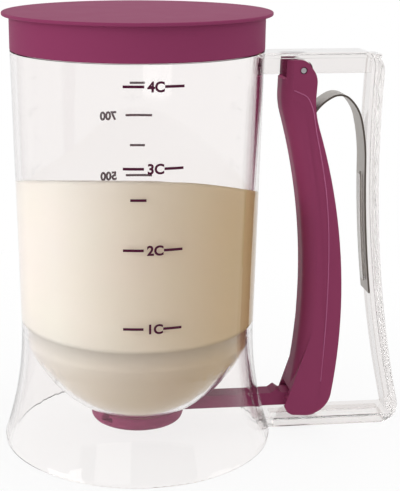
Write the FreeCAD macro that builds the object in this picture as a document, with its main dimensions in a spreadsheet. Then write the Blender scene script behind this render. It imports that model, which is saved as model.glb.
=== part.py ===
"""Batter dispenser: a clear jug with a round hopper over a sliding valve, and a sprung trigger.

The row frame has +Z up. The jug's axis is the Z axis, the floor that it stands on is z = 0,
the handle is at +X, and the trigger swings about a pin that lies along Y.
All sizes are in millimetres.
"""
import FreeCAD, Part
import math
import os

import Sketcher

Vector = FreeCAD.Vector

# Driving sizes, grouped by the piece that they shape first.
SIZES = {
    # Jug: a tapered tube on a flared skirt
    "base_radius": 58.1,
    "foot_height": 2.0,
    "waist_radius": 50.0,
    "waist_height": 50.0,
    "top_radius": 52.0,
    "shoulder_height": 168.4,
    "rim_height": 182.2,
    "jug_wall": 2.4,
    "skirt_wall": 2.2,
    "skirt_flare": 148.0,
    "edge_round": 0.8,
    # Lid: a cap whose band is flush with the jug
    "lid_flange_radius": 55.0,
    "lid_thickness": 1.4,
    "lid_band": 1.2,
    "lid_gap": 0.25,
    "lid_round": 0.55,
    # Hopper bowl: closes the tank and carries the valve's rails
    "seam": 0.1,
    "bowl_wall": 1.8,
    "bowl_rim": 46.0,
    "bowl_band": 8.0,
    "bowl_curve": 55.0,
    "bowl_flat_radius": 21.0,
    "bowl_flat_height": 14.0,
    "nozzle_radius": 6.5,
    "land_width": 1.5,
    "land_height": 0.15,
    # Rails under the bowl, two of them, T-shaped in section
    "rail_offset": 13.5,
    "rail_stem": 1.6,
    "rail_foot": 3.6,
    "rail_foot_height": 1.2,
    "rail_drop": 3.0,
    "rail_back": 10.0,
    "rail_front": 9.0,
    "rail_gap": 0.4,
    # Valve slide: a round shoe on an arm
    "shoe_radius": 20.2,
    "shoe_bottom": 7.6,
    "shoe_gap": 0.3,
    "shoe_round": 2.5,
    "seal_radius": 10.5,
    "seal_thickness": 1.6,
    "seal_gap": 0.2,
    "seal_clearance": 0.05,
    "arm_width": 8.0,
    "arm_bottom": 10.4,
    "arm_top": 16.2,
    "arm_low_top": 13.3,
    "arm_ramp_start": 23.5,
    "arm_ramp_end": 29.5,
    "nub_place": 61.4,
    "nub_height": 1.7,
    "nub_half": 2.4,
    "slot_gap_side": 1.2,
    "slot_gap_up": 1.4,
    # Trunnions that join the arm to the trigger's foot
    "trunnion_place": 67.1,
    "trunnion_height": 13.4,
    "trunnion_radius": 2.0,
    "trunnion_gap": 0.4,
    "trunnion_depth": 1.0,
    "trunnion_play": 1.4,
    # Handle: flange and rib, from the rim round to the skirt
    "handle_top": 166.9,
    "handle_width": 16.0,
    "handle_flange": 2.4,
    "handle_corner": 8.0,
    "handle_round": 0.6,
    "grip_waist": 101.75,
    "grip_centre": 134.6,
    "grip_curve": 540.0,
    "grip_depth": 5.0,
    "rib_width": 10.0,
    "web_bottom": 157.7,
    "web_width": 5.0,
    "bar_bottom": 1.4,
    "bar_height": 4.4,
    "bar_wall": 2.0,
    "bar_skin": 1.8,
    "inner_corner": 3.0,
    # Hinge at the top of the trigger
    "pin_place": 67.8,
    "pin_height": 159.7,
    "pin_radius": 1.4,
    "pin_fit": 0.02,
    "pin_running": 0.05,
    "pin_recess": 0.6,
    "boss_radius": 4.2,
    # Trigger: a channel that is open towards the grip
    "cheek": 2.0,
    "channel_width": 13.5,
    "trigger_nose": 71.35,
    "trigger_nose_height": 66.0,
    "trigger_nose_curve": 268.0,
    "trigger_back": 88.1,
    "trigger_back_height": 55.0,
    "trigger_back_curve": 260.0,
    "trigger_top": 164.0,
    "trigger_foot": 6.8,
    "finger_wall": 2.2,
    "finger_round": 5.5,
    "brow_round": 30.0,
    "finger_wall_top": 156.1,
    "finger_wall_bottom": 18.6,
    "panel_step": 0.3,
    "head_step": 1.1,
    # Leaf spring: one bent strip
    "spring_thickness": 0.8,
    "spring_width": 12.0,
    "spring_gap": 0.1,
    "spring_low": 62.0,
    "spring_straight_top": 120.0,
    "spring_lead": 85.0,
    "spring_lead_turn": 12.5,
    "spring_shoulder": 18.0,
    "spring_shoulder_turn": 34.0,
    "spring_arch": 6.5,
    "spring_arch_turn": 67.0,
    "spring_fall": 18.0,
    "spring_fall_turn": 28.0,
    "spring_tail": 150.0,
    "spring_tail_turn": 5.0,
    "slot_width": 3.2,
    "slot_low": 66.0,
    "slot_high": 115.5,
    "rail_end_gap": 1.2,
    "stake_stem": 2.4,
    "stake_head": 4.4,
    "stake_head_height": 0.8,
    "stake_gap": 0.15,
}

LEFT = 1
RIGHT = -1
FAR = 60.0


class Dim:
    """A length together with the sheet expression that it comes from."""

    def __init__(self, value, text):
        self.value = float(value)
        self.text = text

    def __add__(self, other):
        other = dim(other)
        return Dim(self.value + other.value, f"({self.text} + {other.text})")

    def __radd__(self, other):
        return dim(other) + self

    def __sub__(self, other):
        other = dim(other)
        return Dim(self.value - other.value, f"({self.text} - {other.text})")

    def __rsub__(self, other):
        return dim(other) - self

    def __mul__(self, other):
        other = dim(other)
        return Dim(self.value * other.value, f"({self.text} * {other.text})")

    def __rmul__(self, other):
        return self * other

    def __truediv__(self, other):
        other = dim(other)
        return Dim(self.value / other.value, f"({self.text} / {other.text})")

    def __neg__(self):
        return Dim(-self.value, f"(0 - {self.text})")


def dim(number):
    """A plain number, or a Dim as it is."""
    return number if isinstance(number, Dim) else Dim(number, repr(float(number)))


def size(name):
    """A named size from the sheet."""
    return Dim(SIZES[name], f"Sizes.{name}")


def root(square):
    return Dim(math.sqrt(square.value), f"sqrt({square.text})")


def cosine(degrees):
    return Dim(math.cos(math.radians(degrees.value)), f"cos({degrees.text})")


def sine(degrees):
    return Dim(math.sin(math.radians(degrees.value)), f"sin({degrees.text})")


def arc_x(waist, height, curve, z, depth=0.0, side=RIGHT):
    """The x of a long upright arc at height z, on a line depth away from it.

    The arc's nearest or furthest point is at (waist, height). With side LEFT its centre
    is at lower x, with side RIGHT at higher x.
    """
    reach = root((curve + depth) * (curve + depth) - (z - height) * (z - height))
    return waist - curve + reach if side == LEFT else waist + curve - reach


def make_sheet(doc):
    """The spreadsheet that every size is bound to."""
    sheet = doc.addObject("Spreadsheet::Sheet", "Sizes")
    for row, (name, value) in enumerate(SIZES.items(), start=1):
        sheet.set(f"A{row}", name)
        sheet.set(f"B{row}", str(value))
        sheet.setAlias(f"B{row}", name)
    doc.recompute()
    return sheet


def plane_of(body, role):
    """One of a body's own origin planes."""
    return next(f for f in body.Origin.OriginFeatures if f.Role == role)


def new_sketch(body, name, role, offset=None):
    """An empty sketch on an origin plane, or at an offset from it."""
    sketch = body.newObject("Sketcher::SketchObject", name)
    sketch.AttachmentSupport = [(plane_of(body, role), "")]
    sketch.MapMode = "FlatFace"
    if offset is not None:
        sketch.AttachmentOffset = FreeCAD.Placement(Vector(0, 0, offset.value), FreeCAD.Rotation())
        sketch.setExpression("AttachmentOffset.Base.z", offset.text)
    return sketch


def fix(sketch, kind, label, target, number):
    """One driving constraint, bound to the sheet."""
    index = sketch.addConstraint(Sketcher.Constraint(kind, *target, number.value))
    sketch.renameConstraint(index, label)
    sketch.setExpression(f"Constraints.{label}", number.text)


def arc_geometry(start, end, radius, turn):
    """The arc under half a circle from start to end, turning LEFT or RIGHT on the way."""
    chord = end - start
    half = chord.Length / 2
    normal = Vector(-chord.y, chord.x, 0).normalize() * turn
    centre = (start + end) / 2 + normal * math.sqrt(radius * radius - half * half)
    first, last = (start, end) if turn == LEFT else (end, start)
    angles = [math.atan2(p.y - centre.y, p.x - centre.x) for p in (first, last)]
    circle = Part.Circle(centre, Vector(0, 0, 1), radius)
    return Part.ArcOfCircle(circle, angles[0], angles[1])


def outline(body, name, role, corners, offset=None):
    """A closed, fully constrained sketch.

    Each corner is (x, y), or (x, y, radius, turn) where the edge that leaves it is an arc.
    """
    sketch = new_sketch(body, name, role, offset)
    corners = [tuple(dim(c) for c in corner[:3]) + tuple(corner[3:]) for corner in corners]
    points = [Vector(c[0].value, c[1].value, 0) for c in corners]
    ends = []
    for i, corner in enumerate(corners):
        start, end = points[i], points[(i + 1) % len(points)]
        if len(corner) == 2:
            sketch.addGeometry(Part.LineSegment(start, end))
            ends.append((1, 2))
        else:
            sketch.addGeometry(arc_geometry(start, end, corner[2].value, corner[3]))
            ends.append((1, 2) if corner[3] == LEFT else (2, 1))
    for i in range(len(corners)):
        after = (i + 1) % len(corners)
        sketch.addConstraint(Sketcher.Constraint("Coincident", i, ends[i][1], after, ends[after][0]))
    for i, corner in enumerate(corners):
        fix(sketch, "DistanceX", f"x{i}", (-1, 1, i, ends[i][0]), corner[0])
        fix(sketch, "DistanceY", f"y{i}", (-1, 1, i, ends[i][0]), corner[1])
        if len(corner) > 2:
            fix(sketch, "Radius", f"r{i}", (i,), corner[2])
    return sketch


def disc(body, name, role, x, y, radius, offset=None):
    """A sketch of one circle."""
    sketch = new_sketch(body, name, role, offset)
    sketch.addGeometry(Part.Circle(Vector(dim(x).value, dim(y).value, 0), Vector(0, 0, 1), radius.value))
    fix(sketch, "DistanceX", "x", (-1, 1, 0, 3), dim(x))
    fix(sketch, "DistanceY", "y", (-1, 1, 0, 3), dim(y))
    fix(sketch, "Radius", "r", (0,), radius)
    return sketch


def turned(body, name, sketch, cut=False):
    """A full turn of a sketch about the jug's axis, added or cut."""
    kind = "PartDesign::Groove" if cut else "PartDesign::Revolution"
    feature = body.newObject(kind, name)
    feature.Profile = sketch
    feature.ReferenceAxis = (sketch, ["V_Axis"])
    feature.Angle = 360
    sketch.Visibility = False
    return feature


def pad(body, name, sketch, length):
    """A pad of the given length, half to each side of its sketch."""
    feature = body.newObject("PartDesign::Pad", name)
    feature.Profile = sketch
    feature.setExpression("Length", dim(length).text)
    feature.Midplane = True
    return feature


def pocket(body, name, sketch, length, midplane=True, reverse=False):
    """A pocket, half to each side of its sketch or all to one side."""
    feature = body.newObject("PartDesign::Pocket", name)
    feature.Profile = sketch
    feature.setExpression("Length", dim(length).text)
    feature.Midplane = midplane
    feature.Reversed = reverse
    return feature


def mirrored(body, name, feature, role):
    """A mirror image of a feature across one of the body's planes."""
    copy = body.newObject("PartDesign::Mirrored", name)
    copy.Originals = [feature]
    copy.MirrorPlane = (plane_of(body, role), [""])
    body.Tip = copy
    return copy


def rounded(body, name, base, radius, wanted):
    """A fillet on the edges of base for which wanted(edge) is true."""
    body.Document.recompute()
    names = [f"Edge{i}" for i, e in enumerate(base.Shape.Edges, start=1) if wanted(e)]
    feature = body.newObject("PartDesign::Fillet", name)
    feature.Base = (base, names)
    feature.setExpression("Radius", dim(radius).text)
    return feature


def ring_at(edge, radius, z):
    """Whether an edge is a circle about the jug's axis with that radius and height."""
    box = edge.BoundBox
    return abs(box.XMax - radius) < 0.01 and abs(box.ZMin - z) < 0.01 and abs(box.ZMax - z) < 0.01


def corner_at(edge, places):
    """Whether an edge is a straight corner along Y at one of the given x places."""
    box = edge.BoundBox
    upright = box.XMax - box.XMin < 0.01 and box.ZMax - box.ZMin < 0.01
    return upright and any(abs(box.XMax - x) < 0.01 for x in places)


def new_body(doc, name):
    body = doc.addObject("PartDesign::Body", name)
    body.Label = name
    return body


def jug_profile(outset):
    """The jug's outer line from the floor up to the shoulder, moved out by outset."""
    return [
        (size("base_radius") + outset, 0),
        (size("base_radius") + outset, size("foot_height"), size("skirt_flare"), RIGHT),
        (size("waist_radius") + outset, size("waist_height")),
        (size("top_radius") + outset, size("shoulder_height")),
    ]


def build_jug(doc):
    """The clear tank wall and the flared skirt below it, one moulding."""
    body = new_body(doc, "jug_shell")
    rim_outer = size("top_radius") - size("lid_band") - size("lid_gap")
    corners = [(size("base_radius") - size("skirt_wall"), 0)]
    corners += jug_profile(0)
    corners += [
        (rim_outer, size("shoulder_height")),
        (rim_outer, size("rim_height")),
        (size("top_radius") - size("jug_wall"), size("rim_height")),
        (size("waist_radius") - size("jug_wall"), size("waist_height"),
         size("skirt_flare") + size("skirt_wall"), LEFT),
    ]
    wall = turned(body, "wall", outline(body, "wall_line", "XZ_Plane", corners))
    base_radius, foot = SIZES["base_radius"], SIZES["foot_height"]
    foot_edges = rounded(body, "foot_edges", wall, size("edge_round"),
                         lambda e: ring_at(e, base_radius, 0) or ring_at(e, base_radius, foot))
    half = size("arm_width") / 2 + size("slot_gap_side")
    low = size("arm_bottom") - size("slot_gap_up")
    high = size("arm_top") + size("slot_gap_up")
    slot = outline(body, "slot_line", "YZ_Plane", [(-half, low), (half, low), (half, high), (-half, high)])
    pocket(body, "arm_slot", slot, size("base_radius") + 1, midplane=False, reverse=True)
    return body, foot_edges


def build_hopper(doc):
    """The round bowl that closes the tank, with the nozzle and the valve's two rails."""
    body = new_body(doc, "hopper_bowl")
    band_radius = size("waist_radius") - size("jug_wall") - size("seam")
    inner_radius = band_radius - size("bowl_wall")
    flat = size("bowl_flat_height")
    lip = flat + size("bowl_wall")
    land = flat - size("land_height")
    corners = [
        (size("nozzle_radius"), land),
        (size("nozzle_radius") + size("land_width"), land),
        (size("nozzle_radius") + size("land_width"), flat),
        (size("bowl_flat_radius"), flat, size("bowl_curve"), LEFT),
        (band_radius, size("bowl_rim")),
        (band_radius, size("bowl_rim") + size("bowl_band")),
        (inner_radius, size("bowl_rim") + size("bowl_band")),
        (inner_radius, size("bowl_rim"), size("bowl_curve") - size("bowl_wall"), RIGHT),
        (size("bowl_flat_radius"), lip),
        (size("nozzle_radius"), lip),
    ]
    turned(body, "bowl", outline(body, "bowl_line", "XZ_Plane", corners))
    middle, stem, foot = size("rail_offset"), size("rail_stem") / 2, size("rail_foot") / 2
    bottom = flat - size("rail_drop")
    step = bottom + size("rail_foot_height")
    rail = outline(body, "rail_line", "YZ_Plane", [
        (middle - foot, bottom),
        (middle + foot, bottom),
        (middle + foot, step),
        (middle + stem, step),
        (middle + stem, flat + size("bowl_wall") / 2),
        (middle - stem, flat + size("bowl_wall") / 2),
        (middle - stem, step),
        (middle - foot, step),
    ], offset=-size("rail_back"))
    bar = body.newObject("PartDesign::Pad", "rail")
    bar.Profile = rail
    bar.setExpression("Length", (size("rail_back") + size("rail_front")).text)
    mirrored(body, "second_rail", bar, "XZ_Plane")
    return body


def build_lid(doc):
    """The press-on cap, with its wide flange and the band flush with the jug."""
    body = new_body(doc, "lid")
    under = size("rim_height") + size("lid_gap")
    top = under + size("lid_thickness")
    band_foot = size("shoulder_height") + size("lid_gap")
    band_inner = size("top_radius") - size("lid_band")
    corners = [
        (0, under),
        (band_inner, under),
        (band_inner, band_foot),
        (size("top_radius"), band_foot),
        (size("top_radius"), under),
        (size("lid_flange_radius"), under),
        (size("lid_flange_radius"), top),
        (0, top),
    ]
    cap = turned(body, "cap", outline(body, "cap_line", "XZ_Plane", corners))
    flange, band = SIZES["lid_flange_radius"], SIZES["top_radius"]
    rounded(body, "cap_edges", cap, size("lid_round"),
            lambda e: ring_at(e, flange, under.value) or ring_at(e, flange, top.value)
            or ring_at(e, band, band_foot.value))
    return body


def grip_x(z, depth=0.0):
    """The x of the grip's outer face at height z, or of a line depth inside it."""
    return arc_x(size("grip_waist") - depth, size("grip_centre"), size("grip_curve"), z, 0.0, RIGHT) \
        if depth == 0.0 else \
        arc_x(size("grip_waist"), size("grip_centre"), size("grip_curve"), z, depth, RIGHT)


def grip_strip(z_low, z_high, near, far):
    """The closed line between two arcs that run along the grip, from z_low to z_high."""
    return [
        (grip_x(z_low, far), z_low),
        (grip_x(z_low, near), z_low, size("grip_curve") + near, RIGHT),
        (grip_x(z_high, near), z_high),
        (grip_x(z_high, far), z_high, size("grip_curve") + far, LEFT),
    ]


def build_handle(doc):
    """The clear handle: a flange with a rib inside it, from the rim round to the skirt."""
    body = new_body(doc, "handle_frame")
    start = size("waist_radius") - size("jug_wall")
    top = size("handle_top")
    under = top - size("handle_flange")
    corner, flange = size("handle_corner"), size("handle_flange")
    bar_low = size("bar_bottom")
    bar_high = bar_low + size("bar_height")
    hoop = pad(body, "hoop", outline(body, "hoop_line", "XZ_Plane", [
        (start, bar_low),
        (grip_x(bar_low), bar_low, size("grip_curve"), RIGHT),
        (grip_x(top), top),
        (start, top),
        (start, under),
        (grip_x(under, flange), under, size("grip_curve") + flange, LEFT),
        (grip_x(bar_high, flange), bar_high),
        (start, bar_high),
    ]), size("handle_width"))
    outside = [grip_x(bar_low).value, grip_x(top).value]
    inside = [grip_x(under, flange).value, grip_x(bar_high, flange).value]
    corners = rounded(body, "outer_corners", hoop, corner, lambda e: corner_at(e, outside))
    rounded(body, "inner_corners", corners, size("inner_corner"), lambda e: corner_at(e, inside))
    web = outline(body, "web_line", "XZ_Plane", [
        (start, size("web_bottom")),
        (grip_x(size("web_bottom"), size("grip_depth") - 1), size("web_bottom")),
        (grip_x(size("web_bottom"), size("grip_depth") - 1), under + flange / 2),
        (start, under + flange / 2),
    ])
    pad(body, "web", web, size("web_width"))
    rib = outline(body, "rib_line", "XZ_Plane",
                  grip_strip(bar_high - 1, under + flange / 2, flange / 2, size("grip_depth")))
    pad(body, "rib", rib, size("rib_width"))
    stem_depth = size("grip_depth") + size("spring_gap") + size("spring_thickness") + size("stake_gap")
    stake_low = size("slot_low") + size("rail_end_gap")
    stake_high = size("slot_high") - size("rail_end_gap")
    stem = outline(body, "stake_line", "XZ_Plane",
                   grip_strip(stake_low, stake_high, size("grip_depth") - 1, stem_depth + 0.2))
    pad(body, "stake", stem, size("stake_stem"))
    head = outline(body, "stake_head_line", "XZ_Plane",
                   grip_strip(stake_low, stake_high, stem_depth, stem_depth + size("stake_head_height")))
    pad(body, "stake_head", head, size("stake_head"))
    boss = disc(body, "boss_line", "XZ_Plane", size("pin_place"), size("pin_height"), size("boss_radius"))
    pad(body, "boss", boss, size("channel_width") - 2 * size("lid_gap"))
    bore = disc(body, "pin_bore_line", "XZ_Plane", size("pin_place"), size("pin_height"),
                size("pin_radius") + size("pin_fit"))
    pocket(body, "pin_bore", bore, size("handle_width") * 2)
    skirt_end = size("base_radius") + size("bar_wall")
    hollow = outline(body, "bar_hollow_line", "XZ_Plane", [
        (skirt_end, bar_low - 1),
        (grip_x(bar_low) - corner, bar_low - 1),
        (grip_x(bar_low) - corner, bar_high - size("bar_skin")),
        (skirt_end, bar_high - size("bar_skin")),
    ])
    pocket(body, "bar_hollow", hollow, size("handle_width") - 2 * size("bar_wall"))
    cope = [(0, 0)] + jug_profile(size("seam")) + [(0, size("shoulder_height"))]
    coped = turned(body, "cope", outline(body, "cope_line", "XZ_Plane", cope), cut=True)
    half = SIZES["handle_width"] / 2
    clear_of_jug = SIZES["base_radius"] + 1

    def outer_edge(edge):
        box = edge.BoundBox
        flat = abs(abs(box.YMin) - half) < 0.01 and abs(box.YMin - box.YMax) < 0.01
        middle = edge.valueAt((edge.FirstParameter + edge.LastParameter) / 2)
        return flat and middle.x > clear_of_jug

    rounded(body, "handle_edges", coped, size("handle_round"), outer_edge)
    return body


def build_pin(doc):
    """The steel hinge pin, pressed into the handle's boss."""
    body = new_body(doc, "hinge_pin")
    line = disc(body, "pin_line", "XZ_Plane", size("pin_place"), size("pin_height"), size("pin_radius"))
    outer = size("channel_width") + 2 * size("cheek")
    shank = pad(body, "shank", line, outer - 2 * size("pin_recess"))
    doc.recompute()
    chamfer = body.newObject("PartDesign::Chamfer", "ends")
    circles = [f"Edge{i}" for i, e in enumerate(shank.Shape.Edges, start=1)
               if abs(e.BoundBox.YMax - e.BoundBox.YMin) < 0.01]
    chamfer.Base = (shank, circles)
    chamfer.Size = 0.3
    return body


def trigger_x(z, depth=0.0):
    """The x of the finger side at height z, or of a line depth behind it."""
    return arc_x(size("trigger_nose"), size("trigger_nose_height"), size("trigger_nose_curve"),
                 z, depth, LEFT)


def build_trigger(doc):
    """The lever: a curved channel, closed on the finger side and open towards the grip."""
    body = new_body(doc, "trigger")
    kink, neck, knee, heel, hip = dim(145.0), dim(142.5), dim(20.0), dim(17.0), dim(136.0)
    back = [arc_x(size("trigger_back"), size("trigger_back_height"), size("trigger_back_curve"),
                  z, 0.0, LEFT) for z in (heel, hip)]
    top = size("trigger_top")
    brow = trigger_x(kink)
    toe = size("trunnion_place") - 2.5
    side = outline(body, "side_line", "XZ_Plane", [
        (brow + 0.4, top),
        (brow, kink, size("trigger_nose_curve"), RIGHT),
        (trigger_x(knee), knee),
        (toe, size("trigger_foot") + 4.6, 5.0, LEFT),
        (toe + 3.6, size("trigger_foot") + 0.5),
        (toe + 10.0, size("trigger_foot"), 11.5, LEFT),
        (back[0], heel, size("trigger_back_curve"), LEFT),
        (back[1], hip, 40.0, RIGHT),
        (size("pin_place") + 5.6, dim(148.0)),
        (size("pin_place") + 5.9, dim(153.5), 9.0, LEFT),
        (size("pin_place") + 3.2, top - 3.0, 5.0, LEFT),
        (size("pin_place") - 1.8, top),
    ])
    outer = size("channel_width") + 2 * size("cheek")
    block = pad(body, "block", side, outer)
    chin = rounded(body, "brow_corner", block, size("brow_round"),
                   lambda e: corner_at(e, [brow.value]))
    reach = SIZES["trigger_nose"] + 0.5
    low, high = SIZES["finger_wall_bottom"], SIZES["finger_wall_top"]

    def finger_edge(edge):
        box = edge.BoundBox
        middle = edge.valueAt((edge.FirstParameter + edge.LastParameter) / 2)
        return box.YMax - box.YMin < 0.01 and box.XMax < reach and low < middle.z < high + 5

    nose = rounded(body, "finger_edges", chin, size("finger_round"), finger_edge)
    wall_low, wall_high = size("finger_wall_bottom"), size("finger_wall_top")
    wall = size("finger_wall")
    near = brow - 10
    away = size("trigger_back") + 10
    channel = outline(body, "channel_line", "XZ_Plane", [
        (near, size("trigger_foot") - 5),
        (away, size("trigger_foot") - 5),
        (away, top + 5),
        (near, top + 5),
        (near, wall_high),
        (brow + wall + 0.3, wall_high),
        (brow + wall + 0.3, dim(150.0)),
        (trigger_x(neck, wall), neck, size("trigger_nose_curve") + wall, RIGHT),
        (trigger_x(wall_low, wall), wall_low),
        (near, wall_low),
    ])
    pocket(body, "channel", channel, size("channel_width"))
    head = outline(body, "head_line", "XZ_Plane", [
        (near, wall_high),
        (brow + size("head_step"), wall_high),
        (brow + size("head_step"), top + 5),
        (near, top + 5),
    ])
    pocket(body, "head_relief", head, outer * 2)
    bore = disc(body, "bore_line", "XZ_Plane", size("pin_place"), size("pin_height"),
                size("pin_radius") + size("pin_running"))
    pocket(body, "bore", bore, outer * 2)
    half = size("trunnion_radius") + size("trunnion_gap")
    play = size("trunnion_play")
    x, z = size("trunnion_place"), size("trunnion_height")
    track = outline(body, "track_line", "XZ_Plane", [
        (x - half, z - play),
        (x - half + 0, z + play, half, RIGHT),
        (x, z + play + half, half, RIGHT),
        (x + half, z + play),
        (x + half, z - play, half, RIGHT),
        (x, z - play - half, half, RIGHT),
    ])
    pocket(body, "track", track, size("channel_width") + 2 * size("trunnion_depth"))
    step = outline(body, "panel_line", "XZ_Plane", [
        (brow - 5, dim(151.0)),
        (brow + 6.8, dim(146.2)),
        (brow + 10.0, dim(142.0)),
        (brow + 13.4, dim(122.0), 300.0, RIGHT),
        (brow + 20.3, dim(60.0), 180.0, RIGHT),
        (brow + 17.0, dim(0.0)),
        (away, dim(0.0)),
        (away, top + 5),
        (brow - 5, top + 5),
    ], offset=outer / 2 - size("panel_step"))
    relief = pocket(body, "panel_relief", step, size("panel_step") + 1, midplane=False, reverse=True)
    mirrored(body, "other_relief", relief, "XZ_Plane")
    return body, nose


def build_valve(doc):
    """The slide: a round shoe under the nozzle, its arm, and the trunnions in the trigger's foot."""
    body = new_body(doc, "valve_slide")
    bottom = size("shoe_bottom")
    top = size("bowl_flat_height") - size("shoe_gap")
    recess = size("seal_thickness") - (size("shoe_gap") - size("land_height") - size("seal_clearance"))
    shoe = turned(body, "shoe", outline(body, "shoe_line", "XZ_Plane", [
        (0, bottom),
        (size("shoe_radius"), bottom),
        (size("shoe_radius"), top),
        (size("seal_radius") + size("seal_gap"), top),
        (size("seal_radius") + size("seal_gap"), top - recess),
        (0, top - recess),
    ]))
    radius, low = SIZES["shoe_radius"], SIZES["shoe_bottom"]
    rounded(body, "shoe_edge", shoe, size("shoe_round"), lambda e: ring_at(e, radius, low))
    low_top, arm_top = size("arm_low_top"), size("arm_top")
    start = size("shoe_radius") - 3
    end = size("trunnion_place") + size("trunnion_radius") + 0.6
    nub, rise = size("nub_place"), size("nub_height")
    arm = outline(body, "arm_line", "XZ_Plane", [
        (start, size("arm_bottom")),
        (end, size("arm_bottom")),
        (end, arm_top),
        (nub + size("nub_half"), arm_top),
        (nub, arm_top + rise),
        (nub - size("nub_half"), arm_top),
        (size("arm_ramp_end"), arm_top),
        (size("arm_ramp_start"), low_top),
        (start, low_top),
    ])
    pad(body, "arm", arm, size("arm_width"))
    axle = disc(body, "trunnion_line", "XZ_Plane", size("trunnion_place"), size("trunnion_height"),
                size("trunnion_radius"))
    reach = size("channel_width") + 2 * (size("trunnion_depth") - size("trunnion_gap"))
    pad(body, "trunnions", axle, reach)
    gap = size("rail_gap")
    middle = size("rail_offset")
    stem = size("rail_stem") / 2 + gap
    foot = size("rail_foot") / 2 + gap
    floor = size("bowl_flat_height") - size("rail_drop") - gap
    ledge = size("bowl_flat_height") - size("rail_drop") + size("rail_foot_height") + gap
    track = outline(body, "track_line", "YZ_Plane", [
        (middle - foot, floor),
        (middle + foot, floor),
        (middle + foot, ledge),
        (middle + stem, ledge),
        (middle + stem, top + 1),
        (middle - stem, top + 1),
        (middle - stem, ledge),
        (middle - foot, ledge),
    ], offset=size("rail_front") + gap)
    cut = pocket(body, "track", track, size("shoe_radius") * 2, midplane=False)
    mirrored(body, "second_track", cut, "XZ_Plane")
    return body


def build_seal(doc):
    """The soft disc in the shoe that closes the nozzle."""
    body = new_body(doc, "valve_seal")
    top = size("bowl_flat_height") - size("land_height") - size("seal_clearance")
    bottom = top - size("seal_thickness")
    ring = turned(body, "disc", outline(body, "disc_line", "XZ_Plane", [
        (0, bottom),
        (size("seal_radius"), bottom),
        (size("seal_radius"), top),
        (0, top),
    ]))
    radius = SIZES["seal_radius"]
    rounded(body, "disc_edge", ring, 0.3, lambda e: ring_at(e, radius, top.value))
    return body


def build_spring(doc):
    """The leaf spring: flat along the grip, arched over, its tail inside the trigger."""
    body = new_body(doc, "leaf_spring")
    thick = size("spring_thickness")
    near = size("grip_depth") + size("spring_gap")
    curve = size("grip_curve") + near + thick / 2
    centre_x = size("grip_waist") + size("grip_curve")
    centre_z = size("grip_centre")
    low, high = size("spring_low"), size("spring_straight_top")
    # Directions are measured at each arc's centre, anticlockwise from +X.
    start = 180 + math.degrees(math.asin((centre_z.value - high.value) / curve.value))
    arcs = [(size(f"spring_{part}"), size(f"spring_{part}_turn"))
            for part in ("lead", "shoulder", "arch", "fall", "tail")]
    lean = Dim(start - 180, f"asin(({centre_z.text} - {high.text}) / {curve.text}) / 1deg")
    joint_x = centre_x - curve * cosine(lean)
    joint_z = high
    # The strip turns left from here on, so each centre is to the left of the way round.
    angle = lean
    outside, inside = [], []
    for radius, turn in arcs:
        mid_x = joint_x - radius * cosine(angle)
        mid_z = joint_z - radius * sine(angle)
        outside.append((joint_x + thick / 2 * cosine(angle), joint_z + thick / 2 * sine(angle),
                        radius + thick / 2, LEFT))
        angle = angle + turn
        joint_x = mid_x + radius * cosine(angle)
        joint_z = mid_z + radius * sine(angle)
        inside.append((joint_x - thick / 2 * cosine(angle), joint_z - thick / 2 * sine(angle),
                       radius - thick / 2, RIGHT))
    tip = (joint_x + thick / 2 * cosine(angle), joint_z + thick / 2 * sine(angle))
    first = outside[0]
    strip = outline(body, "strip_line", "XZ_Plane", [
        (grip_x(low, near + thick), low),
        (grip_x(low, near), low, size("grip_curve") + near, RIGHT),
        *outside,
        tip,
        *reversed(inside),
        (first[0] - thick * cosine(lean), first[1] - thick * sine(lean),
         size("grip_curve") + near + thick, LEFT),
    ])
    pad(body, "strip", strip, size("spring_width"))
    half = size("slot_width") / 2
    slot = outline(body, "slot_line", "YZ_Plane", [
        (-half, size("slot_low") + half, half + 0.001, LEFT),
        (half, size("slot_low") + half),
        (half, size("slot_high") - half, half + 0.001, LEFT),
        (-half, size("slot_high") - half),
    ])
    pocket(body, "slot", slot, size("base_radius") * 2, midplane=False, reverse=True)
    return body


def check(doc, bodies):
    """Stops the build if any object failed, or a piece is not one valid solid."""
    for thing in doc.Objects:
        if {"Invalid", "Error"} & set(thing.State):
            raise RuntimeError(f"{thing.Name}: {thing.State}")
    for body in bodies:
        shape = body.Shape
        if shape.isNull() or not shape.isValid() or len(shape.Solids) != 1:
            raise RuntimeError(f"{body.Label} is not one valid solid")
        print(f"{body.Label}: {shape.Volume:.1f} mm3, {len(shape.Faces)} faces")


def main():
    doc = FreeCAD.newDocument("batter_dispenser")
    make_sheet(doc)
    bodies = [
        build_jug(doc)[0],
        build_hopper(doc),
        build_lid(doc),
        build_handle(doc),
        build_pin(doc),
        build_trigger(doc)[0],
        build_spring(doc),
        build_valve(doc),
        build_seal(doc),
    ]
    doc.recompute()
    check(doc, bodies)
    os.makedirs("parts", exist_ok=True)
    for body in bodies:
        body.Shape.exportStep(f"parts/{body.Label}.step")


main()
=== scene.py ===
"""Looks of a hand-held batter dispenser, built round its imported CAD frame.

All lengths are in metres, in the frame's own axes: +Z up along the jug, +X towards the handle,
and the cup scale on the side that faces -Y.
"""

import logging
import math
from dataclasses import dataclass, field
from enum import Enum
from typing import Callable, Optional, Sequence

import bmesh
import bpy
from mathutils import Matrix, Vector

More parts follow.
